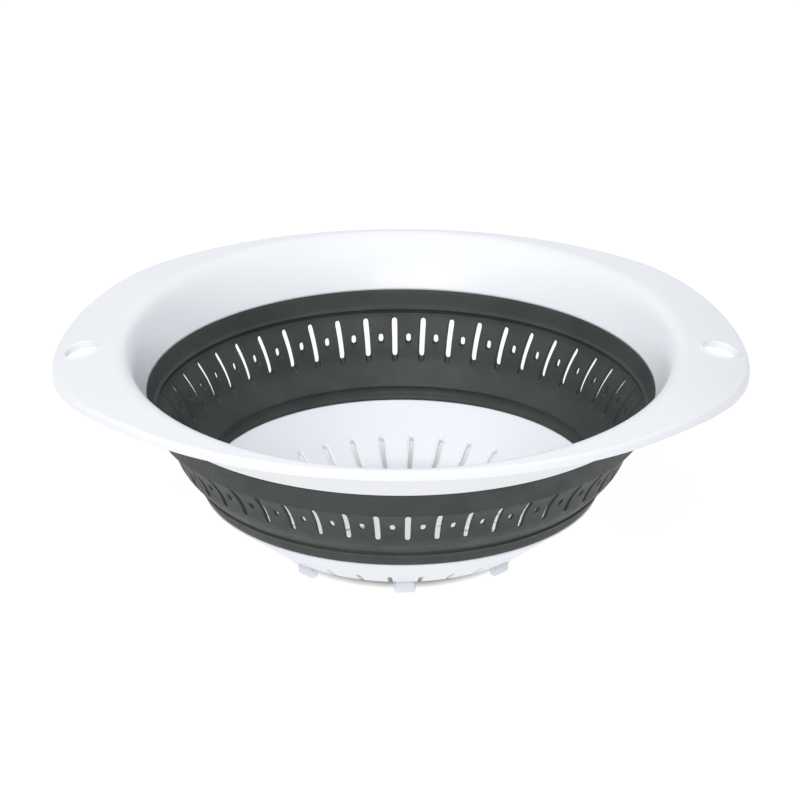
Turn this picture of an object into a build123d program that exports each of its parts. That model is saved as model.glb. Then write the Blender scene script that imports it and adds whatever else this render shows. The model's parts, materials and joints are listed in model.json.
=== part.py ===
"""Collapsible colander: a rigid oval rim with two ears, a folding soft wall and a rigid strainer base.

Millimetres. The origin is at the centre of the base, on the surface that the feet stand on.
+Z is up and +X runs from the middle to the right-hand ear. The colander is modelled opened out.
Every outline of the wall and base is a half section in (radius, height), turned about the Z axis.
"""

from build123d import *
import os
from math import atan2, cos, degrees, hypot, radians, sin

# Rim: oval outline, oval crest of the mouth, and the round lower edge that the wall hangs from
EAR_REACH = 145.0
FRONT_REACH = 129.2
CREST_X = 116.2
CREST_Y = 125.4
MOUTH_R = 106.0
RIM_FOOT_Z = 67.9
RIM_TOP_Z = 87.8
RIM_WALL = 2.1
FLANGE_T = 2.2
LIP_DEPTH = 4.2
LIP_T = 1.9
EAR_BEND_X = 104.5
EAR_BEND_R = 118.0
LIP_ROUND = 1.2
CREST_ROUND = 2.0
OVAL_STEP = 15

# How the rim flares from foot to crest: shares of its height, of its growth in X and of its growth in Y
BELL_STATIONS = ((0.0, 0.0, 0.0), (0.4, 0.34, 0.27), (0.75, 0.64, 0.62), (1.0, 1.0, 1.0))

# Hanging holes, square to the drooping ears
HOLE_X = 132.7
HOLE_R = 7.25
HOLE_PAD_R = 9.0
HOLE_PAD_T = 3.0

# How far tools and trimming blocks run past what they cut
SPARE = 5.0

# Soft wall: inner surface as (radius, height) at each ring where it changes
WALL_TOP = (106.0, 67.9)
UPPER_FOLD = (102.6, 59.1)
LOWER_FOLD = (82.0, 30.1)
WALL_FOOT = (81.3, 25.4)
WALL_T = 2.1
FOLD_HEIGHT = 1.6
FOLD_THINNING = 0.55

# The slotted band between the folds curves inwards beside its slots and outwards below them
SLOTTED_CURVE = ((87.8, 35.9), (92.0, 41.3), (95.7, 49.3), (101.1, 56.2))

# Hidden rims of the hard parts that the soft wall is moulded round
TONGUE_T = 0.8
TONGUE_INSET = 0.65
TONGUE_LENGTH = 2.4

# Drain slots and holes in the soft wall
WALL_SLOTS = 50
WALL_SLOT_TOP_Z = 56.2
WALL_SLOT_FOOT_Z = 41.6
WALL_SLOT_W = 2.2
WALL_HOLE_W = 2.0
WALL_HOLE_HEIGHT = 3.2

# Base: dished floor with radial slots and moulded feet
FLOOR_TOP_Z = 6.4
BASE_T = 1.8
BASE_CONE_FOOT_R = 57.7
BASE_BEND_R = 12.0
BASE_SLOTS = 32
BASE_SLOT_OUTER_R = 67.5
BASE_SLOT_INNER_R = 38.0
BASE_SLOT_W = 2.0
CENTRE_SLOTS = 8
CENTRE_SLOT_OUTER_R = 31.0
CENTRE_SLOT_INNER_R = 17.0
FEET = 8
FOOT_R = 56.0
FOOT_W = 8.8
FOOT_T = 3.2

# The slot patterns sit a little turned from the line of the ears
PATTERN_TURN = 1.6


def along(low, high, z):
    """The radius at height z on the straight line between two (radius, height) points."""
    share = (z - low[1]) / (high[1] - low[1])
    return low[0] + share * (high[0] - low[0])


def turned(points):
    """The ring swept by a half section given as (radius, height) points."""
    outline = make_face(Plane.XZ * Polyline(*points, close=True))
    return revolve(outline, Axis.Z)


def band(inner, thinning=0.0):
    """A ring of the soft wall whose inner surface passes through the (radius, height) points, upwards."""
    inside = [(radius + thinning, z) for radius, z in inner]
    outside = [(radius + WALL_T - thinning, z) for radius, z in inner]
    return turned(inside + outside[::-1])


def oval(x_radius, y_radius, z):
    """A closed oval at height z, begun on the +X axis whichever radius is the longer."""
    turns = [radians(a) for a in range(0, 360, OVAL_STEP)]
    corners = [Vector(x_radius * cos(turn), y_radius * sin(turn), z) for turn in turns]
    return Wire([Edge.make_spline(corners, periodic=True)])


def under_rim_top(drop, floor_z):
    """Everything above floor_z and lower than the rim's top surface by at least drop."""
    far = EAR_REACH + SPARE
    top = RIM_TOP_Z - drop
    radius = EAR_BEND_R - drop
    turn = degrees(atan2(far - EAR_BEND_X, radius))
    ear = CenterArc((EAR_BEND_X, top - radius), radius, 90, -turn)
    other = CenterArc((-EAR_BEND_X, top - radius), radius, 90, turn)
    lines = [
        ear,
        other,
        Line((-EAR_BEND_X, top), (EAR_BEND_X, top)),
        Line(ear @ 1, ((ear @ 1).X, floor_z)),
        Line(((ear @ 1).X, floor_z), ((other @ 1).X, floor_z)),
        Line(((other @ 1).X, floor_z), other @ 1),
    ]
    outline = make_face(Plane.XZ * Curve(lines))
    return extrude(outline, FRONT_REACH + SPARE, both=True)


def oval_post(x_radius, y_radius):
    """An upright oval post that passes through the whole height of the rim."""
    return Solid.extrude(Face(oval(x_radius, y_radius, 0)), Vector(0, 0, RIM_TOP_Z + SPARE))


def bell(offset):
    """The solid inside the rim's flared wall, grown outwards by offset."""
    height = RIM_TOP_Z - RIM_FOOT_Z
    rings = [
        oval(
            MOUTH_R + offset + share_x * (CREST_X - MOUTH_R),
            MOUTH_R + offset + share_y * (CREST_Y - MOUTH_R),
            RIM_FOOT_Z + share_z * height,
        )
        for share_z, share_x, share_y in BELL_STATIONS
    ]
    return Solid.make_loft(rings)


def tongue(low, high):
    """A thin hidden ring inside the soft wall, along it between two (radius, height) points."""
    near = TONGUE_INSET
    far = TONGUE_INSET + TONGUE_T
    inside = [(radius + near, z) for radius, z in (low, high)]
    outside = [(radius + far, z) for radius, z in (high, low)]
    return turned(inside + outside)


def rim_tongue():
    """The ring under the rim that the top of the soft wall grips."""
    end_z = WALL_TOP[1] - TONGUE_LENGTH
    return tongue((along(UPPER_FOLD, WALL_TOP, end_z), end_z), WALL_TOP)


def base_tongue():
    """The ring on the base that the foot of the soft wall grips."""
    end_z = WALL_FOOT[1] + TONGUE_LENGTH
    return tongue(WALL_FOOT, (along(WALL_FOOT, LOWER_FOLD, end_z), end_z))


def cut_all(shape, tools):
    """Cuts every tool from the shape and returns the one solid that is left."""
    left = shape.cut(*tools)
    return left.solids().sort_by(SortBy.VOLUME)[-1]


def top_height(x):
    """The height of the rim's top surface, which is level in the middle and droops along the ears."""
    past = max(0.0, abs(x) - EAR_BEND_X)
    return RIM_TOP_Z - EAR_BEND_R + (EAR_BEND_R**2 - past**2) ** 0.5


def ear_plane(side):
    """The plane of the ear's top surface at the hanging hole: side is 1 on the right and -1 on the left."""
    tilt = (HOLE_X - EAR_BEND_X) / EAR_BEND_R
    normal = (side * tilt, 0, (1 - tilt**2) ** 0.5)
    return Plane(origin=(side * HOLE_X, 0, top_height(HOLE_X)), x_dir=(0, 1, 0), z_dir=normal)


def hole_tool(side, radius, above, below):
    """A round post through the ear, from above its top surface to below it."""
    start = ear_plane(side).offset(-below)
    return extrude(start * Circle(radius), above + below)


def edges_on_oval(shape, x_radius, y_radius):
    """The edges along the rim's top surface that follow an oval of these radii in plan."""
    share_off = 0.015
    height_off = 0.1
    found = []
    for edge in shape.edges():
        points = [edge @ share for share in (0, 0.25, 0.5, 0.75, 1)]
        on_oval = all(abs(hypot(p.X / x_radius, p.Y / y_radius) - 1) < share_off for p in points)
        on_top = all(abs(p.Z - top_height(p.X)) < height_off for p in points)
        if on_oval and on_top:
            found.append(edge)
    return found


def rim_frame():
    """The rigid rim: flared mouth, drooping oval flange, turned-down lip and two hanging holes."""
    oval_block = under_rim_top(0, RIM_FOOT_Z) & oval_post(EAR_REACH, FRONT_REACH)
    oval_block = oval_block.fillet(LIP_ROUND, edges_on_oval(oval_block, EAR_REACH, FRONT_REACH))
    flange = oval_block - under_rim_top(FLANGE_T, RIM_FOOT_Z - SPARE)
    hollow = oval_post(EAR_REACH - LIP_T, FRONT_REACH - LIP_T)
    lip = oval_block - under_rim_top(LIP_DEPTH, RIM_FOOT_Z - SPARE) - hollow
    mouth_wall = oval_block & bell(RIM_WALL)
    pad_rise = (HOLE_PAD_T - FLANGE_T) / 2
    pads = [hole_tool(side, HOLE_PAD_R, pad_rise, FLANGE_T + pad_rise) for side in (-1, 1)]
    opened = cut_all(flange.fuse(lip, mouth_wall), [bell(0)])
    rounded = opened.fillet(CREST_ROUND, edges_on_oval(opened, CREST_X, CREST_Y))
    joined = rounded.fuse(rim_tongue(), *pads)
    return cut_all(joined, [hole_tool(side, HOLE_R, SPARE, FLANGE_T + SPARE) for side in (-1, 1)])


def radial_slot_tools(count, outer_r, inner_r, width, start):
    """Upright round-ended posts that cut radial slots through the floor."""
    middle = (outer_r + inner_r) / 2
    slot = Pos(middle, 0, 0) * SlotOverall(outer_r - inner_r, width)
    post = extrude(slot, WALL_FOOT[1])
    return [Rot(0, 0, start + 360 / count * i) * post for i in range(count)]


def feet():
    """The blocks under the floor that the colander stands on, each between two slots."""
    outline = Pos(FOOT_R, 0, 0) * Rectangle(FOOT_T, FOOT_W)
    block = extrude(outline, FLOOR_TOP_Z - BASE_T / 2)
    return [Rot(0, 0, -90 + PATTERN_TURN + 360 / FEET * i) * block for i in range(FEET)]


def base_dish():
    """The dished floor before its slots, as one turned solid."""
    rise = WALL_FOOT[1] - FLOOR_TOP_Z
    run = WALL_FOOT[0] - BASE_CONE_FOOT_R
    slope = hypot(rise, run)
    out = BASE_T * slope / rise
    under_z = FLOOR_TOP_Z - BASE_T
    edge_r = WALL_FOOT[0] + WALL_T
    edge_z = WALL_FOOT[1] - (WALL_FOOT[0] + out - edge_r) * rise / run
    under_r = WALL_FOOT[0] + out - (WALL_FOOT[1] - under_z) * run / rise
    outline = Polyline(
        (0, FLOOR_TOP_Z),
        (BASE_CONE_FOOT_R, FLOOR_TOP_Z),
        WALL_FOOT,
        (edge_r, WALL_FOOT[1]),
        (edge_r, edge_z),
        (under_r, under_z),
        (0, under_z),
        close=True,
    )
    section = make_face(outline)
    inner_bend = section.vertices().sort_by_distance((BASE_CONE_FOOT_R, FLOOR_TOP_Z))[0]
    section = fillet(inner_bend, BASE_BEND_R)
    outer_bend = section.vertices().sort_by_distance((under_r, under_z))[0]
    section = fillet(outer_bend, BASE_BEND_R + BASE_T)
    return revolve(Plane.XZ * section, Axis.Z)


def base_strainer():
    """The rigid base: dished floor, feet, radial slots and the hidden ring that the wall grips."""
    body = base_dish().fuse(*feet(), base_tongue())
    first = -90 + PATTERN_TURN + 180 / BASE_SLOTS
    outer = radial_slot_tools(BASE_SLOTS, BASE_SLOT_OUTER_R, BASE_SLOT_INNER_R, BASE_SLOT_W, first)
    centre = radial_slot_tools(CENTRE_SLOTS, CENTRE_SLOT_OUTER_R, CENTRE_SLOT_INNER_R, BASE_SLOT_W, first)
    return cut_all(body, outer + centre)


def wall_slot_tools():
    """Level radial posts through the soft wall: upright slots with a small oval hole between each pair."""
    middle_z = (WALL_SLOT_TOP_Z + WALL_SLOT_FOOT_Z) / 2
    skin = Plane(origin=(SLOTTED_CURVE[1][0], 0, middle_z), x_dir=(0, 0, 1), z_dir=(1, 0, 0))
    reach = SLOTTED_CURVE[-1][0] - SLOTTED_CURVE[1][0] + WALL_T + SPARE
    tall = WALL_SLOT_TOP_Z - WALL_SLOT_FOOT_Z
    slot = extrude(skin * SlotOverall(tall, WALL_SLOT_W), reach, both=True)
    hole = extrude(skin * SlotOverall(WALL_HOLE_HEIGHT, WALL_HOLE_W), reach, both=True)
    pitch = 360 / WALL_SLOTS
    first = 90 + PATTERN_TURN
    slots = [Rot(0, 0, first + pitch * i) * slot for i in range(WALL_SLOTS)]
    holes = [Rot(0, 0, first + pitch * (i + 0.5)) * hole for i in range(WALL_SLOTS)]
    return slots + holes


def soft_wall():
    """The folding wall as five rings that meet face to face, because each moves in its own way."""
    half = FOLD_HEIGHT / 2
    above_upper = (along(UPPER_FOLD, WALL_TOP, UPPER_FOLD[1] + half), UPPER_FOLD[1] + half)
    below_upper = (along(SLOTTED_CURVE[-1], UPPER_FOLD, UPPER_FOLD[1] - half), UPPER_FOLD[1] - half)
    above_lower = (along(LOWER_FOLD, SLOTTED_CURVE[0], LOWER_FOLD[1] + half), LOWER_FOLD[1] + half)
    below_lower = (along(WALL_FOOT, LOWER_FOLD, LOWER_FOLD[1] - half), LOWER_FOLD[1] - half)
    slotted = band([above_lower, *SLOTTED_CURVE, below_upper])
    return {
        "wall_upper_band": band([above_upper, WALL_TOP]) - rim_tongue(),
        "wall_upper_fold": band([below_upper, above_upper], FOLD_THINNING),
        "wall_slotted_band": cut_all(slotted, wall_slot_tools()),
        "wall_lower_fold": band([below_lower, above_lower], FOLD_THINNING),
        "wall_lower_band": band([WALL_FOOT, below_lower]) - base_tongue(),
    }


def main():
    """Builds every piece and writes one STEP file for each."""
    os.makedirs("parts", exist_ok=True)
    pieces = {"rim_frame": rim_frame(), "base_strainer": base_strainer(), **soft_wall()}
    for name, shape in pieces.items():
        export_step(shape, f"parts/{name}.step")


main()
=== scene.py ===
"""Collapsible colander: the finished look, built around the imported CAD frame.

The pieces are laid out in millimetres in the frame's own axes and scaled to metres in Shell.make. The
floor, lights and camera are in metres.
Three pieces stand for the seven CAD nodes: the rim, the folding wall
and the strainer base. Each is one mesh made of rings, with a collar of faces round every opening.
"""

import json
import math

import bmesh
import bpy
import numpy as np
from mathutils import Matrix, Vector


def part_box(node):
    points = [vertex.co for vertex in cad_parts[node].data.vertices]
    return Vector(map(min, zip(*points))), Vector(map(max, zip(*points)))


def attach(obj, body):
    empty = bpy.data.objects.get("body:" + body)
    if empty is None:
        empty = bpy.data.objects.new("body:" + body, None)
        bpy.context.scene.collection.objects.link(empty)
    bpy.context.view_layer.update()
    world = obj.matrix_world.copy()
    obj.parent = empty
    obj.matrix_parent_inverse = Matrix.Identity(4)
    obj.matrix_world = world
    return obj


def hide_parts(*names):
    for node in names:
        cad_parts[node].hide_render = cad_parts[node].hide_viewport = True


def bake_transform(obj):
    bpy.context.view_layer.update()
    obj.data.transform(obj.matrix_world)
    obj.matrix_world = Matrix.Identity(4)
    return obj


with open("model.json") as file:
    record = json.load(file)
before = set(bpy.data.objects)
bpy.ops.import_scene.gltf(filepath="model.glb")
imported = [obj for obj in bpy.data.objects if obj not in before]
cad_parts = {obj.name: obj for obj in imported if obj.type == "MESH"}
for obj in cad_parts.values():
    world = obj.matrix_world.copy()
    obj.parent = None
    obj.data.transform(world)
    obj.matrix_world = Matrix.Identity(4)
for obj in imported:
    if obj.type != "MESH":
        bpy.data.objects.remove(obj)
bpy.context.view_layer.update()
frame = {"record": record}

MM = 0.001

# Sizes read from the frame, in millimetres
RIM_TOP = (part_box("rim_frame")[1] / MM).z
WALL_BOTTOM = (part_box("wall_lower_band")[0] / MM).z
RIM_FOOT = (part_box("wall_upper_band")[1] / MM).z
HOLES = {m["name"]: m for m in frame["record"]["mounts"] if m["kind"] == "bore"}

# Rim: the ears droop round a level cylinder that starts at EAR_BEND_X
EAR_BEND_X = 104.5
EAR_BEND_R = 118.0
FLANGE_T = 2.2
FLANGE_ROWS = 8
RIM_SEGMENTS = 360
HOLE_X = 132.7
HOLE_R = HOLES["hang_hole_right"]["dims"]["r_mm"]
EAR_TILT = math.asin((HOLE_X - EAR_BEND_X) / EAR_BEND_R)
EAR_PATCH_HALF = 6

# Folding wall: the slotted band's inner surface as (radius, height), downwards
BAND_CURVE = [
    (102.0, 58.2),
    (101.1, 56.2),
    (98.35, 52.9),
    (95.75, 49.3),
    (93.6, 45.4),
    (92.0, 41.6),
    (90.3, 38.8),
    (88.0, 36.3),
    (85.6, 34.0),
    (83.6, 32.1),
]

# Its slots and holes, its level thickness, and how much thicker it is at its foot
SLOT_TOP = 56.2
SLOT_FOOT = 41.6
SLOT_W = 2.2
HOLE_W = 2.0
HOLE_HEIGHT = 3.2
BAND_T = 2.1
FOOT_SWELL = 0.45
WALL_SLOTS = 50
SEGMENTS_PER_HALF = 4

# Base: floor, cone and the bend between them
FLOOR_TOP = 6.4
BASE_T = 1.8
BASE_RIM_R = 81.3
CONE_FOOT_R = 57.7
BEND_R = 12.0

# Base slots, the recess round each, and the rings of the dish that hold them
BASE_SLOTS = 32
BASE_SLOT_OUT = 67.5
BASE_SLOT_IN = 38.0
BASE_SLOT_W = 2.0
RECESS_W = 3.3
RECESS_DEPTH = 0.35
CENTRE_SLOTS = 8
CENTRE_OUT = 31.0
CENTRE_IN = 17.0
SLOT_ZONE = (36.0, 69.6)
SLOT_ZONE_ROWS = 20
CENTRE_ZONE = (15.4, 32.6)
CENTRE_ZONE_ROWS = 10
MIDDLE_RADII = (0.0, 2.0, 5.0, 8.5, 12.0, CENTRE_ZONE[0])
BETWEEN_RADII = (CENTRE_ZONE[1], 33.7, 34.8, SLOT_ZONE[0])
ABOVE_RADII = (SLOT_ZONE[1], 72.0, 74.5, 77.0)
CONE_TOP_INSIDE_R = 79.5
CONE_TOP_UNDER_R = 80.5

# Feet
FEET = 8
FOOT_R = 56.0
FOOT_W = 8.8
FOOT_T = 3.2
FOOT_CORNER_R = 0.9
FOOT_CORNER_POINTS = 4

# The slot patterns sit a little turned from the line of the ears, by an amount fitted to the photo
PATTERN_TURN = math.radians(1.6)

# Mesh making: welding distances in metres, and how strongly large faces set the shading
WELD_DISTANCE = 2e-6
TINY_EDGE = 1e-7
LARGE_FACE_WEIGHT = 60

# The part of a slot's round end that its long sides' points take up
END_CORNER = math.radians(35)


# ---------------------------------------------------------------- mesh helpers


class Shell:
    """Collects points (millimetres) and faces; points that coincide are welded when it is made."""

    def __init__(self):
        self.points = []
        self.faces = []

    def add(self, points):
        """Adds a list of points and returns their indices."""
        first = len(self.points)
        self.points.extend(points)
        return list(range(first, first + len(points)))

    def bridge(self, a, b, closed=False):
        """Quads between two rows of the same length."""
        count = len(a)
        for i in range(count if closed else count - 1):
            j = (i + 1) % count
            self.faces.append((a[i], a[j], b[j], b[i]))

    def grid(self, rows, closed=False):
        """Quads over rows of points."""
        indices = [self.add(row) for row in rows]
        for a, b in zip(indices, indices[1:]):
            self.bridge(a, b, closed)
        return indices

    def make(self, name, material):
        """One object from everything collected, welded, with faces turned outwards."""
        mesh = bpy.data.meshes.new(name)
        mesh.from_pydata([tuple(c * MM for c in p) for p in self.points], [], self.faces)
        weld(mesh)
        for polygon in mesh.polygons:
            polygon.use_smooth = True
        mesh.materials.append(material)
        piece = bpy.data.objects.new(name, mesh)
        bpy.context.scene.collection.objects.link(piece)
        weighted = piece.modifiers.new("even_normals", "WEIGHTED_NORMAL")
        weighted.keep_sharp = True
        weighted.weight = LARGE_FACE_WEIGHT
        return piece


def weld(mesh):
    """Joins coinciding points and makes the faces agree on which side is out."""
    work = bmesh.new()
    work.from_mesh(mesh)
    bmesh.ops.remove_doubles(work, verts=work.verts, dist=WELD_DISTANCE)
    bmesh.ops.dissolve_degenerate(work, dist=TINY_EDGE, edges=work.edges)
    bmesh.ops.recalc_face_normals(work, faces=work.faces)
    work.to_mesh(mesh)
    work.free()


def smooth_through(controls, steps):
    """Points of a smooth curve through the controls (Catmull-Rom), with steps spans between each pair."""
    pts = np.array(controls, float)
    padded = np.vstack([2 * pts[0] - pts[1], pts, 2 * pts[-1] - pts[-2]])
    out = []
    for i in range(1, len(padded) - 2):
        p0, p1, p2, p3 = padded[i - 1 : i + 3]
        for k in range(steps):
            t = k / steps
            bend = (2 * p0 - 5 * p1 + 4 * p2 - p3) * t**2 + (3 * p1 - p0 - 3 * p2 + p3) * t**3
            out.append(0.5 * (2 * p1 + (p2 - p0) * t + bend))
    out.append(pts[-1])
    return out


def spread(low, high, count):
    """Evenly spaced values from low to high, with count spaces between them."""
    return [low + (high - low) * i / count for i in range(count + 1)]


def border(across, along):
    """Steps round a rectangle of cells, anticlockwise from its lower left: (share across, share along)."""
    loop = [(i / across, 0.0) for i in range(across)]
    loop += [(1.0, j / along) for j in range(along)]
    loop += [(1 - i / across, 1.0) for i in range(across)]
    loop += [(0.0, 1 - j / along) for j in range(along)]
    return loop


def stadium(length, width, across, along):
    """The outline of a round-ended slot, centred on the origin and long in y, matched to border()."""
    radius = width / 2
    straight = length / 2 - radius
    side = 2 * straight + 2 * radius * END_CORNER
    outline = []
    for i in range(across):
        angle = math.pi + END_CORNER + (math.pi - 2 * END_CORNER) * i / across
        outline.append((radius * math.cos(angle), -straight + radius * math.sin(angle)))
    for j in range(along):
        outline.append(side_point(side * j / along, radius, straight))
    return outline + [(-x, -y) for x, y in outline]


def side_point(travelled, radius, straight):
    """The point that far up the right-hand side of a slot, starting part way round its lower end."""
    arc = radius * END_CORNER
    if travelled < arc:
        angle = -END_CORNER + travelled / radius
        return (radius * math.cos(angle), -straight + radius * math.sin(angle))
    if travelled <= arc + 2 * straight:
        return (radius, -straight + travelled - arc)
    angle = (travelled - arc - 2 * straight) / radius
    return (radius * math.cos(angle), straight + radius * math.sin(angle))


# ---------------------------------------------------------------- rim


def top_height(x):
    """The height of the rim's top surface, which is level in the middle and droops along the ears."""
    past = max(0.0, abs(x) - EAR_BEND_X)
    return RIM_TOP - EAR_BEND_R + math.sqrt(EAR_BEND_R**2 - past**2)


def rim_point(turn, oval):
    """A point of the rim. oval is (x radius, y radius, drop under the top, share of the ears' droop)."""
    x = oval[0] * math.cos(turn)
    y = oval[1] * math.sin(turn)
    droop = (RIM_TOP - top_height(x)) * oval[3]
    return (x, y, RIM_TOP - oval[2] - droop)


def ear_point(side, radius, angle, depth):
    """A point round a hanging hole: radius and angle in the ear's plane, and depth under its surface."""
    u = radius * math.cos(angle)
    sag = u * u / (2 * EAR_BEND_R)
    down = depth + sag
    x = HOLE_X + u * math.cos(EAR_TILT) - down * math.sin(EAR_TILT)
    z = top_height(HOLE_X) - u * math.sin(EAR_TILT) - down * math.cos(EAR_TILT)
    return (side * x, radius * math.sin(angle), z)


# Ovals of the rim's section, from the foot of the mouth up, over the crest, out and round the lip
MOUTH_OVALS = [
    (106.0, 106.0, 19.9, 0.0),
    (106.9, 107.2, 17.4, 0.0),
    (108.2, 109.3, 14.0, 0.0),
    (109.7, 112.0, 10.4, 0.05),
    (111.2, 115.2, 7.0, 0.2),
    (112.7, 118.7, 4.1, 0.5),
    (114.3, 121.8, 2.0, 0.8),
    (116.4, 124.2, 0.7, 1.0),
    (118.8, 125.8, 0.12, 1.0),
    (121.5, 126.8, 0.0, 1.0),
]
EAR_OUTER = (143.2, 128.3, 0.0, 1.0)
LIP_OVALS = [
    EAR_OUTER,
    (144.0, 128.7, 0.2, 1.0),
    (144.7, 129.03, 0.75, 1.0),
    (144.95, 129.15, 1.6, 1.0),
    (144.95, 129.15, 3.2, 1.0),
    (144.86, 129.06, 3.85, 1.0),
    (144.4, 128.6, 4.18, 1.0),
    (143.7, 127.95, 4.18, 1.0),
    (143.25, 127.55, 3.9, 1.0),
    (143.1, 127.4, 3.3, 1.0),
    (142.9, 127.25, 2.5, 1.0),
    (142.4, 126.9, 2.2, 1.0),
]
UNDER_INNER = (121.5, 124.9, 2.2, 1.0)
OUTER_WALL_OVALS = [
    UNDER_INNER,
    (119.4, 124.1, 2.5, 1.0),
    (117.5, 122.8, 3.6, 0.9),
    (115.9, 120.7, 5.6, 0.6),
    (113.9, 117.4, 8.9, 0.2),
    (111.9, 113.9, 12.6, 0.0),
    (110.1, 110.9, 16.2, 0.0),
    (108.25, 108.25, 19.6, 0.0),
    (108.0, 108.0, 19.9, 0.0),
]


# Collar round a hanging hole: (distance outside the hole, rise above the flange)
EAR_COLLAR = ((2.3, 0.0), (1.9, 0.06), (1.5, 0.28), (1.0, 0.4), (0.5, 0.4), (0.2, 0.3), (0.0, 0.05))


def rim_rows(shell, ovals):
    """Closed rings of the rim, one for each oval."""
    turns = [2 * math.pi * i / RIM_SEGMENTS for i in range(RIM_SEGMENTS)]
    shell.grid([[rim_point(t, oval) for t in turns] for oval in ovals], closed=True)


def close_rings(shell, indices):
    """Joins the last column of points to the first over a stack of rings."""
    for a, b in zip(indices, indices[1:]):
        shell.faces.append((a[-1], a[0], b[0], b[-1]))


def ear_collar(shell, side, rows, depth, flip):
    """The faces round a hanging hole in the flange's top or underside. Returns the ring at its bore."""
    across = 2 * EAR_PATCH_HALF
    along = len(rows) - 1
    start = 0.0 if side > 0 else math.pi
    step = 2 * math.pi / RIM_SEGMENTS
    outer = []
    angles = []
    for u, v in border(across, along):
        turn = start + (u * across - EAR_PATCH_HALF) * step
        point = rim_point(turn, rows[int(round(v * along))])
        outer.append(point)
        reach = (side * point[0] - HOLE_X) / math.cos(EAR_TILT)
        angles.append(math.atan2(point[1], reach))
    rings = [outer]
    for outside, rise in EAR_COLLAR:
        rings.append([ear_point(side, HOLE_R + outside, a, depth - flip * rise) for a in angles])
    indices = shell.grid(rings)
    close_rings(shell, indices)
    return indices[-1]


def flange_face(shell, inner, outer, depth, flip):
    """The flange's top or underside with a collar round each hanging hole. Returns the two bore rings."""
    inner, outer = np.array(inner), np.array(outer)
    rows = [tuple(inner + (outer - inner) * i / FLANGE_ROWS) for i in range(FLANGE_ROWS + 1)]
    half_ring = RIM_SEGMENTS // 2
    step = 2 * math.pi / RIM_SEGMENTS
    for first in (EAR_PATCH_HALF, EAR_PATCH_HALF + half_ring):
        turns = [step * i for i in range(first, first + half_ring - 2 * EAR_PATCH_HALF + 1)]
        shell.grid([[rim_point(t, row) for t in turns] for row in rows])
    return [ear_collar(shell, side, rows, depth, flip) for side in (1, -1)]


def build_rim(material):
    """The rigid rim: mouth, crest, flange with two holed ears, turned-down lip and outer wall."""
    shell = Shell()
    rim_rows(shell, smooth_through(MOUTH_OVALS, 3))
    top_bores = flange_face(shell, MOUTH_OVALS[-1], EAR_OUTER, 0.0, 1)
    rim_rows(shell, smooth_through(LIP_OVALS, 2))
    under_bores = flange_face(shell, UNDER_INNER, LIP_OVALS[-1], FLANGE_T, -1)
    rim_rows(shell, smooth_through(OUTER_WALL_OVALS, 2))
    rim_rows(shell, [OUTER_WALL_OVALS[-1], (107.0, 107.0, 19.9, 0.0), MOUTH_OVALS[0]])
    for top, under in zip(top_bores, under_bores):
        shell.bridge(top, under, closed=True)
    return shell.make("rim", material)


# ---------------------------------------------------------------- folding wall


def band_radius(height):
    """The radius of the slotted band's inner surface at a height."""
    return float(np.interp(height, BAND_HEIGHTS, BAND_RADII))


def wall_point(angle, height, out):
    """A point of the slotted band in space, out from its inner surface."""
    radius = band_radius(height) + out
    return (radius * math.cos(angle), radius * math.sin(angle), height)


BAND_LINE = smooth_through(BAND_CURVE, 12)[::-1]
BAND_RADII = [p[0] for p in BAND_LINE]
BAND_HEIGHTS = [p[1] for p in BAND_LINE]

# The part of the band that holds the slots, in rows; a hole's patch takes two rows above and below it
ZONE_TOP = SLOT_TOP + 0.8
ZONE_FOOT = SLOT_FOOT - 3.2
ZONE_ROWS = 12
HOLE_REACH = 2
ROWS_BELOW_ZONE = 6

# Collars round an opening of the wall: (growth of the outline, longer at its foot, depth into the rubber)
PLAIN_EDGE = ((0.45, 0.0, 0.0), (0.16, 0.0, 0.02), (0.04, 0.0, 0.1), (0.0, 0.0, 0.28))
SLOT_RECESS = (
    (0.62, 2.0, 0.0),
    (0.4, 1.9, 0.03),
    (0.22, 1.85, 0.16),
    (0.1, 1.8, 0.5),
    (0.0, 1.6, 1.5),
    (0.0, 0.0, 1.62),
)
HOLE_RECESS = (
    (0.6, 0.7, 0.0),
    (0.38, 0.65, 0.03),
    (0.2, 0.6, 0.16),
    (0.08, 0.55, 0.5),
    (0.0, 0.5, 1.5),
    (0.0, 0.0, 1.62),
)

# How the wall is divided round its axis
WALL_SEGMENTS = 2 * WALL_SLOTS * SEGMENTS_PER_HALF
HALF_TURN = math.pi / WALL_SLOTS


def wall_rings(shell, profile):
    """Closed rings of the wall through (radius, height) points."""
    first = math.pi / 2 + PATTERN_TURN - HALF_TURN / 2
    angles = [first + 2 * math.pi * i / WALL_SEGMENTS for i in range(WALL_SEGMENTS)]
    shell.grid([[(r * math.cos(a), r * math.sin(a), z) for a in angles] for r, z in profile], closed=True)


def pierced_patch(shell, centre, rows, outline, middle, inside):
    """A patch of the band with one opening: a collar on each face and the opening's walls between them."""
    along = len(rows) - 1
    loops = []
    for face, inwards, collar in ((0.0, 1, inside), (BAND_T, -1, PLAIN_EDGE)):
        edge = []
        for u, v in border(SEGMENTS_PER_HALF, along):
            angle = centre + (u - 0.5) * HALF_TURN
            edge.append(wall_point(angle, rows[int(round(v * along))], face))
        rings = [edge]
        for grow, tail, sink in collar:
            out = face + inwards * sink
            rings.append(opening_ring(centre, outline(grow, tail), middle - tail / 2, out))
        indices = shell.grid(rings)
        close_rings(shell, indices)
        loops.append(indices[-1])
    shell.bridge(loops[0], loops[1], closed=True)


def opening_ring(centre, outline, middle, out):
    """An outline laid on the band about a middle height, at a distance out from the inner surface."""
    radius = band_radius(middle)
    return [wall_point(centre + x / radius, middle + y, out) for x, y in outline]


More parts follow.
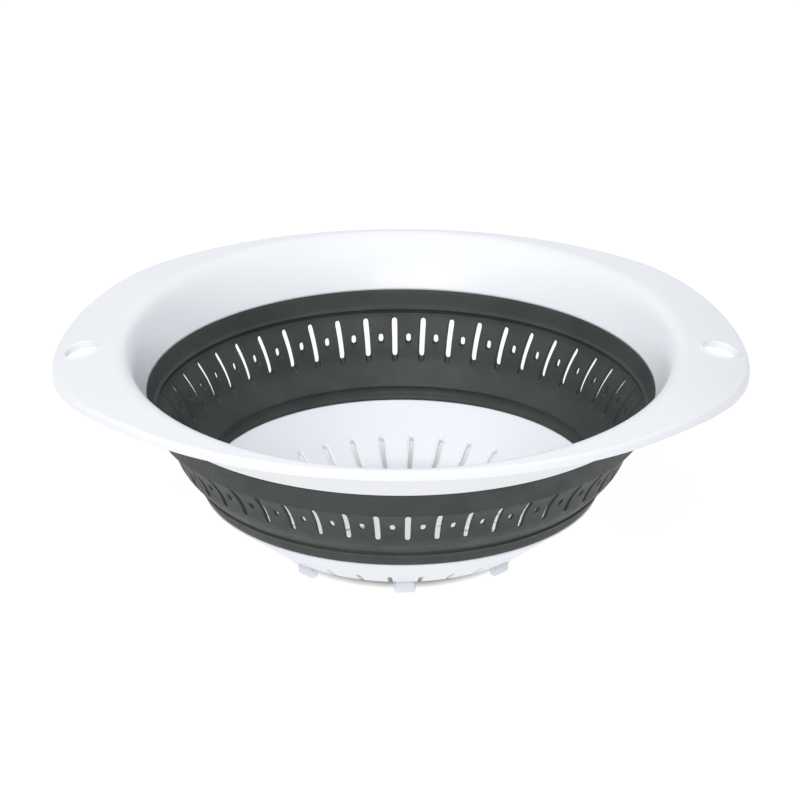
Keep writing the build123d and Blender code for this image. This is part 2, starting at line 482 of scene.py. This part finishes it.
def slotted_zone(shell):
    """The ring of slots with a small oval hole between each pair, cut level through the band."""
    rows = spread(ZONE_FOOT, ZONE_TOP, ZONE_ROWS)
    middle = (SLOT_TOP + SLOT_FOOT) / 2
    length = SLOT_TOP - SLOT_FOOT
    near = min(range(ZONE_ROWS + 1), key=lambda i: abs(rows[i] - middle))
    hole_rows = rows[near - HOLE_REACH : near + HOLE_REACH + 1]

    def slot_outline(grow, tail):
        return stadium(length + tail + 2 * grow, SLOT_W + 2 * grow, SEGMENTS_PER_HALF, ZONE_ROWS)

    def hole_outline(grow, tail):
        height = HOLE_HEIGHT + tail + 2 * grow
        return stadium(height, HOLE_W + 2 * grow, SEGMENTS_PER_HALF, 2 * HOLE_REACH)

    for i in range(WALL_SLOTS):
        centre = math.pi / 2 + PATTERN_TURN + 2 * HALF_TURN * i
        pierced_patch(shell, centre, rows, slot_outline, middle, SLOT_RECESS)
        between = centre + HALF_TURN
        pierced_patch(shell, between, hole_rows, hole_outline, middle, HOLE_RECESS)
        steps = range(SEGMENTS_PER_HALF + 1)
        angles = [between + (k / SEGMENTS_PER_HALF - 0.5) * HALF_TURN for k in steps]
        for part in (rows[: near - HOLE_REACH + 1], rows[near + HOLE_REACH :]):
            for out in (0.0, BAND_T):
                shell.grid([[wall_point(a, height, out) for a in angles] for height in part])


def upper_profiles():
    """The wall above its slots, inside and outside: band, ridge, groove and step, downwards."""
    inner_top = [
        (107.0, RIM_FOOT),
        (106.35, RIM_FOOT),
        (106.1, 67.55),
        (105.6, 66.8),
        (104.9, 64.9),
        (104.15, 62.9),
        (103.6, 61.5),
        (103.2, 60.95),
        (102.6, 60.65),
        (102.2, 60.4),
        (102.1, 60.05),
        (102.4, 59.75),
        (103.0, 59.55),
        (103.35, 59.25),
        (103.3, 58.85),
        (102.85, 58.5),
        (102.35, 58.35),
        BAND_CURVE[0],
        (band_radius(ZONE_TOP), ZONE_TOP),
    ]
    outer_top = [
        (107.0, RIM_FOOT),
        (107.7, RIM_FOOT),
        (107.9, 67.55),
        (107.6, 66.6),
        (106.6, 64.0),
        (105.25, 60.4),
        (104.5, 58.3),
        (104.3, 57.75),
        (104.1, 57.45),
        (103.8, 57.3),
        (103.5, 57.2),
        (band_radius(ZONE_TOP) + BAND_T, ZONE_TOP),
    ]
    return inner_top, outer_top


def lower_profiles():
    """The wall below its slots, inside and outside: fold groove, outer rib and foot, downwards."""
    foot = WALL_BOTTOM
    low_heights = spread(ZONE_FOOT, BAND_HEIGHTS[0], ROWS_BELOW_ZONE)
    inner_foot = [(band_radius(z), z) for z in low_heights] + [
        (83.25, 31.6),
        (83.15, 31.2),
        (83.35, 30.9),
        (83.85, 30.6),
        (84.05, 30.1),
        (84.0, 29.3),
        (83.7, 28.4),
        (83.2, 27.8),
        (82.5, 27.4),
        (81.9, 27.0),
        (81.5, 26.4),
        (81.45, 25.8),
        (81.7, foot + 0.02),
        (82.35, foot),
    ]
    swell = [FOOT_SWELL * (ZONE_FOOT - z) / (ZONE_FOOT - BAND_HEIGHTS[0]) for z in low_heights]
    outer_foot = [(band_radius(z) + BAND_T + extra, z) for z, extra in zip(low_heights, swell)] + [
        (86.0, 31.85),
        (86.05, 31.6),
        (86.35, 31.4),
        (86.5, 31.1),
        (86.35, 30.75),
        (85.85, 30.35),
        (85.3, 29.8),
        (84.95, 28.9),
        (84.5, 27.7),
        (84.0, 26.6),
        (83.55, 25.9),
        (83.1, foot + 0.02),
        (82.35, foot),
    ]
    return inner_foot, outer_foot


def build_wall(material):
    """The folding soft wall: one moulding with its folds, beads, slots and holes."""
    shell = Shell()
    for profile in upper_profiles() + lower_profiles():
        wall_rings(shell, smooth_through(profile, 2))
    slotted_zone(shell)
    return shell.make("folding_wall", material)


# ---------------------------------------------------------------- base

BASE_RISE = WALL_BOTTOM - FLOOR_TOP
BASE_RUN = BASE_RIM_R - CONE_FOOT_R
BASE_ANGLE = math.atan2(BASE_RISE, BASE_RUN)
BASE_SECTOR = 8
BASE_SEGMENTS = BASE_SLOTS * BASE_SECTOR

# Collars round a base slot: (growth of the outline, depth into the plastic), inside and underneath
RECESS_GROW = (RECESS_W - BASE_SLOT_W) / 2
INSIDE_COLLAR = (
    (RECESS_GROW + 0.25, 0.0),
    (RECESS_GROW + 0.05, 0.03),
    (RECESS_GROW - 0.12, RECESS_DEPTH - 0.04),
    (RECESS_GROW - 0.3, RECESS_DEPTH),
    (0.15, RECESS_DEPTH),
    (0.03, RECESS_DEPTH + 0.05),
    (0.0, RECESS_DEPTH + 0.2),
)
UNDER_COLLAR = ((0.5, 0.0), (0.18, -0.02), (0.04, -0.08), (0.0, -0.22))


def dish_height(radius, out):
    """The height of the dish at a radius: out is 0 on its inner surface and BASE_T on its underside."""
    level = FLOOR_TOP - out
    bend = BEND_R + out
    foot_r = CONE_FOOT_R + out * math.tan(BASE_ANGLE / 2)
    tangent = bend * math.tan(BASE_ANGLE / 2)
    flat_end = foot_r - tangent
    bend_end = foot_r + tangent * math.cos(BASE_ANGLE)
    if radius <= flat_end:
        return level
    if radius < bend_end:
        return level + bend - math.sqrt(bend**2 - (radius - flat_end) ** 2)
    return level + (radius - foot_r) * math.tan(BASE_ANGLE)


def dish_point(angle, radius, out, sink=0.0):
    """A point of the dish in space, sunk into the plastic from that face."""
    return (radius * math.cos(angle), radius * math.sin(angle), dish_height(radius, out) - sink)


def dish_rings(shell, radii, out):
    """Closed rings of the dish at the given radii."""
    first = -math.pi / 2 + PATTERN_TURN
    angles = [first + 2 * math.pi * i / BASE_SEGMENTS for i in range(BASE_SEGMENTS)]
    shell.grid([[dish_point(a, r, out) for a in angles] for r in radii], closed=True)


def dish_slot(shell, centre, across, radii, slot_in, slot_out):
    """A patch of the dish with one radial slot, recessed round its edge on the inside."""
    along = len(radii) - 1
    half = math.pi * across / BASE_SEGMENTS
    middle = (slot_in + slot_out) / 2
    length = slot_out - slot_in
    loops = []
    for out, collar in ((0.0, INSIDE_COLLAR), (BASE_T, UNDER_COLLAR)):
        edge = []
        for u, v in border(across, along):
            edge.append(dish_point(centre + (2 * u - 1) * half, radii[int(round(v * along))], out))
        stack = [edge]
        for grow, sink in collar:
            outline = stadium(length + 2 * grow, BASE_SLOT_W + 2 * grow, across, along)
            stack.append([slot_point(centre, middle + y, -x, out, sink) for x, y in outline])
        indices = shell.grid(stack)
        close_rings(shell, indices)
        loops.append(indices[-1])
    shell.bridge(loops[0], loops[1], closed=True)


def slot_point(centre, forward, aside, out, sink):
    """A point beside a radial line: forward along it and aside from it, on a face of the dish."""
    radius = math.hypot(forward, aside)
    return dish_point(centre - math.atan2(aside, forward), radius, out, sink)


def base_edge(shell):
    """The base's top edge, where the soft wall stands on it."""
    top = WALL_BOTTOM
    out_r = BASE_RIM_R + BAND_T
    first = -math.pi / 2 + PATTERN_TURN
    angles = [first + 2 * math.pi * i / BASE_SEGMENTS for i in range(BASE_SEGMENTS)]
    section = [
        (CONE_TOP_INSIDE_R, dish_height(CONE_TOP_INSIDE_R, 0.0)),
        (80.6, dish_height(80.6, 0.0)),
        (81.15, top - 0.22),
        (81.4, top - 0.04),
        (82.35, top),
        (83.1, top - 0.04),
        (out_r - 0.06, top - 0.2),
        (out_r, top - 0.5),
        (out_r - 0.08, top - 0.85),
        (out_r - 0.75, dish_height(out_r - 0.75, BASE_T)),
        (CONE_TOP_UNDER_R, dish_height(CONE_TOP_UNDER_R, BASE_T)),
    ]
    shell.grid([[(r * math.cos(a), r * math.sin(a), z) for a in angles] for r, z in section], closed=True)


def foot_ring(z, inset):
    """The rounded outline of a foot at one height, drawn in by inset."""
    ring = []
    for sx, sy in ((1, 1), (-1, 1), (-1, -1), (1, -1)):
        for k in range(FOOT_CORNER_POINTS):
            turn = math.atan2(sy, sx) - math.pi / 4 + math.pi / 2 * k / (FOOT_CORNER_POINTS - 1)
            x = sx * (FOOT_T / 2 - FOOT_CORNER_R) + (FOOT_CORNER_R - inset) * math.cos(turn)
            y = sy * (FOOT_W / 2 - FOOT_CORNER_R) + (FOOT_CORNER_R - inset) * math.sin(turn)
            ring.append((FOOT_R + x, y, z))
    return ring


def foot_block(shell, angle):
    """One small foot under the floor, with its edges rounded."""
    levels = [(0.0, 0.5), (0.12, 0.2), (0.45, 0.0), (FLOOR_TOP - BASE_T / 2, -0.25)]
    placed = [[spun(p, angle) for p in foot_ring(z, inset)] for z, inset in levels]
    indices = shell.grid(placed, closed=True)
    shell.faces.append(tuple(reversed(indices[0])))
    shell.faces.append(tuple(indices[-1]))


def spun(point, angle):
    """The point turned about the Z axis."""
    c, s = math.cos(angle), math.sin(angle)
    return (point[0] * c - point[1] * s, point[0] * s + point[1] * c, point[2])


def build_base(material):
    """The rigid strainer base: dished floor, two rings of slots, edge and feet."""
    shell = Shell()
    radii = spread(*SLOT_ZONE, SLOT_ZONE_ROWS)
    inner_radii = spread(*CENTRE_ZONE, CENTRE_ZONE_ROWS)
    first = -math.pi / 2 + PATTERN_TURN
    for i in range(BASE_SLOTS):
        centre = first + 2 * math.pi * (i + 0.5) / BASE_SLOTS
        dish_slot(shell, centre, BASE_SECTOR, radii, BASE_SLOT_IN, BASE_SLOT_OUT)
    wide = BASE_SEGMENTS // CENTRE_SLOTS
    for i in range(CENTRE_SLOTS):
        centre = first + 2 * math.pi * (i + 0.5) / CENTRE_SLOTS
        dish_slot(shell, centre, wide, inner_radii, CENTRE_IN, CENTRE_OUT)
    for out, cone_top in ((0.0, CONE_TOP_INSIDE_R), (BASE_T, CONE_TOP_UNDER_R)):
        dish_rings(shell, BETWEEN_RADII, out)
        dish_rings(shell, MIDDLE_RADII, out)
        dish_rings(shell, (*ABOVE_RADII, cone_top), out)
    base_edge(shell)
    for i in range(FEET):
        foot_block(shell, first + 2 * math.pi * i / FEET)
    return shell.make("strainer_base", material)


# ---------------------------------------------------------------- materials


def new_material(name):
    """An empty node material and its main shader."""
    material = bpy.data.materials.new(name)
    material.use_nodes = True
    return material, material.node_tree.nodes["Principled BSDF"]


def noise(tree, scale, detail):
    """A noise texture in the object's own coordinates."""
    coords = tree.nodes.new("ShaderNodeTexCoord")
    texture = tree.nodes.new("ShaderNodeTexNoise")
    texture.inputs["Scale"].default_value = scale
    texture.inputs["Detail"].default_value = detail
    tree.links.new(coords.outputs["Object"], texture.inputs["Vector"])
    return texture


def ramp(tree, source, low, high):
    """A colour or grey ramp from low to high over the middle range of a texture."""
    node = tree.nodes.new("ShaderNodeValToRGB")
    node.color_ramp.elements[0].position = 0.3
    node.color_ramp.elements[1].position = 0.7
    node.color_ramp.elements[0].color = (*low, 1.0)
    node.color_ramp.elements[1].color = (*high, 1.0)
    tree.links.new(source, node.inputs["Fac"])
    return node


def bump(tree, source, distance, strength, below=None):
    """A bump from a texture, on top of another if given."""
    node = tree.nodes.new("ShaderNodeBump")
    node.inputs["Distance"].default_value = distance
    node.inputs["Strength"].default_value = strength
    tree.links.new(source, node.inputs["Height"])
    if below is not None:
        tree.links.new(below.outputs["Normal"], node.inputs["Normal"])
    return node


def white_plastic(name, low, high, roughness):
    """Satin white moulded plastic, very faintly cloudy."""
    material, shader = new_material(name)
    tree = material.node_tree
    cloud = noise(tree, 22.0, 3.0)
    tint = ramp(tree, cloud.outputs["Fac"], low, high)
    tree.links.new(tint.outputs["Color"], shader.inputs["Base Color"])
    shader.inputs["Roughness"].default_value = roughness
    shader.inputs["IOR"].default_value = 1.49
    return material


def soft_rubber():
    """Matt charcoal rubber: mottled grey-green, with a soft sheen, flow streaks and fine mould grain."""
    material, shader = new_material("charcoal_rubber")
    tree = material.node_tree
    cloud = noise(tree, 55.0, 5.0)
    tint = ramp(tree, cloud.outputs["Fac"], (0.031, 0.037, 0.035), (0.045, 0.053, 0.049))
    tree.links.new(tint.outputs["Color"], shader.inputs["Base Color"])
    gloss = noise(tree, 210.0, 4.0)
    rough = ramp(tree, gloss.outputs["Fac"], (0.50,) * 3, (0.62,) * 3)
    tree.links.new(rough.outputs["Color"], shader.inputs["Roughness"])
    wave = noise(tree, 90.0, 3.0)
    soft = bump(tree, wave.outputs["Fac"], 0.0004, 0.12)
    grain = noise(tree, 3200.0, 3.0)
    fine = bump(tree, grain.outputs["Fac"], 0.00008, 0.35, soft)
    tree.links.new(fine.outputs["Normal"], shader.inputs["Normal"])
    shader.inputs["IOR"].default_value = 1.5
    shader.inputs["Specular IOR Level"].default_value = 0.35
    return material


# ---------------------------------------------------------------- floor, light and camera

# The floor's half width and its own glow, and the soft shadows painted on it: middle and radius in metres,
# share of the radius that fades, and darkest grey
CONTACT_SHADOW = ((0.0, 0.0, 0.0), 0.054, 0.12, 0.2)
CAST_SHADOW = ((0.0, 0.045, 0.0), 0.062, 0.75, 0.28)
FLOOR_HALF = 4.0
FLOOR_GLOW = 0.91


def floor_shade(tree, centre, radius, softness, darkest):
    """A ramp over the floor from a painted shadow's darkest grey to white outside it."""
    coords = tree.nodes.new("ShaderNodeTexCoord")
    placed = tree.nodes.new("ShaderNodeMapping")
    placed.vector_type = "TEXTURE"
    placed.inputs["Location"].default_value = centre
    placed.inputs["Scale"].default_value = (radius, radius, 1.0)
    tree.links.new(coords.outputs["Object"], placed.inputs["Vector"])
    disc = tree.nodes.new("ShaderNodeTexGradient")
    disc.gradient_type = "SPHERICAL"
    tree.links.new(placed.outputs["Vector"], disc.inputs["Vector"])
    node = tree.nodes.new("ShaderNodeValToRGB")
    node.color_ramp.elements[0].position = 0.0
    node.color_ramp.elements[1].position = softness
    node.color_ramp.elements[0].color = (1.0, 1.0, 1.0, 1.0)
    node.color_ramp.elements[1].color = (darkest, darkest, darkest, 1.0)
    tree.links.new(disc.outputs["Fac"], node.inputs["Fac"])
    return node


def times(tree, first, second):
    """The product of two values, each a node output or a number."""
    node = tree.nodes.new("ShaderNodeMath")
    node.operation = "MULTIPLY"
    tree.links.new(first, node.inputs[0])
    if isinstance(second, float):
        node.inputs[1].default_value = second
    else:
        tree.links.new(second, node.inputs[1])
    return node.outputs["Value"]


def build_floor():
    """A flat white floor, mostly lit by itself, with the two soft shadows painted on it."""
    mesh = bpy.data.meshes.new("floor")
    corners = [(sx * FLOOR_HALF, sy * FLOOR_HALF, 0.0) for sx, sy in ((-1, -1), (1, -1), (1, 1), (-1, 1))]
    mesh.from_pydata(corners, [], [(0, 1, 2, 3)])
    floor = bpy.data.objects.new("floor", mesh)
    bpy.context.scene.collection.objects.link(floor)
    material, shader = new_material("floor_white")
    tree = material.node_tree
    # Painted shadows: the floor's glow is dimmed in a disc under the base and a softer one behind it
    contact = floor_shade(tree, *CONTACT_SHADOW)
    cast = floor_shade(tree, *CAST_SHADOW)
    both = times(tree, contact.outputs["Color"], cast.outputs["Color"])
    tree.links.new(times(tree, both, FLOOR_GLOW), shader.inputs["Emission Strength"])
    shader.inputs["Base Color"].default_value = (0.15, 0.15, 0.15, 1.0)
    shader.inputs["Roughness"].default_value = 0.9
    shader.inputs["Specular IOR Level"].default_value = 0.1
    shader.inputs["Emission Color"].default_value = (1.0, 1.0, 1.0, 1.0)
    mesh.materials.append(material)


def area_light(name, place, size, watts):
    """A soft square light at a place, aimed at the colander."""
    data = bpy.data.lights.new(name, "AREA")
    data.shape = "SQUARE"
    data.size = size
    data.energy = watts
    data.color = LAMP_COLOUR
    light = bpy.data.objects.new(name, data)
    bpy.context.scene.collection.objects.link(light)
    light.location = place
    light.rotation_euler = (Vector(AIM) - Vector(place)).to_track_quat("-Z", "Y").to_euler()


LAMP_COLOUR = (1.0, 0.985, 0.965)
AIM = (0.0, 0.0, 0.05)


def build_light():
    """Soft studio light: a pale surround, a broad light overhead and a fill from the front left."""
    world = bpy.data.worlds.new("studio")
    bpy.context.scene.world = world
    world.use_nodes = True
    world.node_tree.nodes["Background"].inputs["Color"].default_value = (0.93, 0.955, 1.0, 1.0)
    world.node_tree.nodes["Background"].inputs["Strength"].default_value = 0.55
    area_light("overhead", (-0.3, -0.2, 1.6), 1.6, 10.5)
    area_light("front", (-0.3, -1.6, 1.4), 1.3, 20.5)


def build_camera():
    """A long lens in front of the colander, looking about 24 degrees down into it."""
    data = bpy.data.cameras.new("camera")
    data.lens = 180.0
    data.sensor_width = 36.0
    data.clip_start = 0.05
    data.clip_end = 50.0
    camera = bpy.data.objects.new("camera", data)
    bpy.context.scene.collection.objects.link(camera)
    elevation = math.radians(23.81)
    distance = 1.672
    target = Vector((-0.0004, 0.0, 0.0613))
    back = Vector((0.0, -math.cos(elevation), math.sin(elevation)))
    camera.location = target + back * distance
    camera.rotation_euler = (-back).to_track_quat("-Z", "Y").to_euler()
    bpy.context.scene.camera = camera


# ---------------------------------------------------------------- assembly


def main():
    """Builds the three pieces, the rim and the base on their bodies, then the stage."""
    rim_white = white_plastic("rim_white", (0.815, 0.83, 0.865), (0.835, 0.85, 0.88), 0.3)
    base_white = white_plastic("base_white", (0.78, 0.80, 0.85), (0.80, 0.82, 0.865), 0.32)
    rim = build_rim(rim_white)
    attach(rim, "rim")
    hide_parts("rim_frame")
    base = build_base(base_white)
    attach(base, "base")
    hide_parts("base_strainer")
    wall = build_wall(soft_rubber())
    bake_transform(wall)
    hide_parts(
        "wall_upper_band",
        "wall_upper_fold",
        "wall_slotted_band",
        "wall_lower_fold",
        "wall_lower_band",
    )
    build_floor()
    build_light()
    build_camera()
    bpy.context.scene.view_settings.view_transform = "Standard"


main()
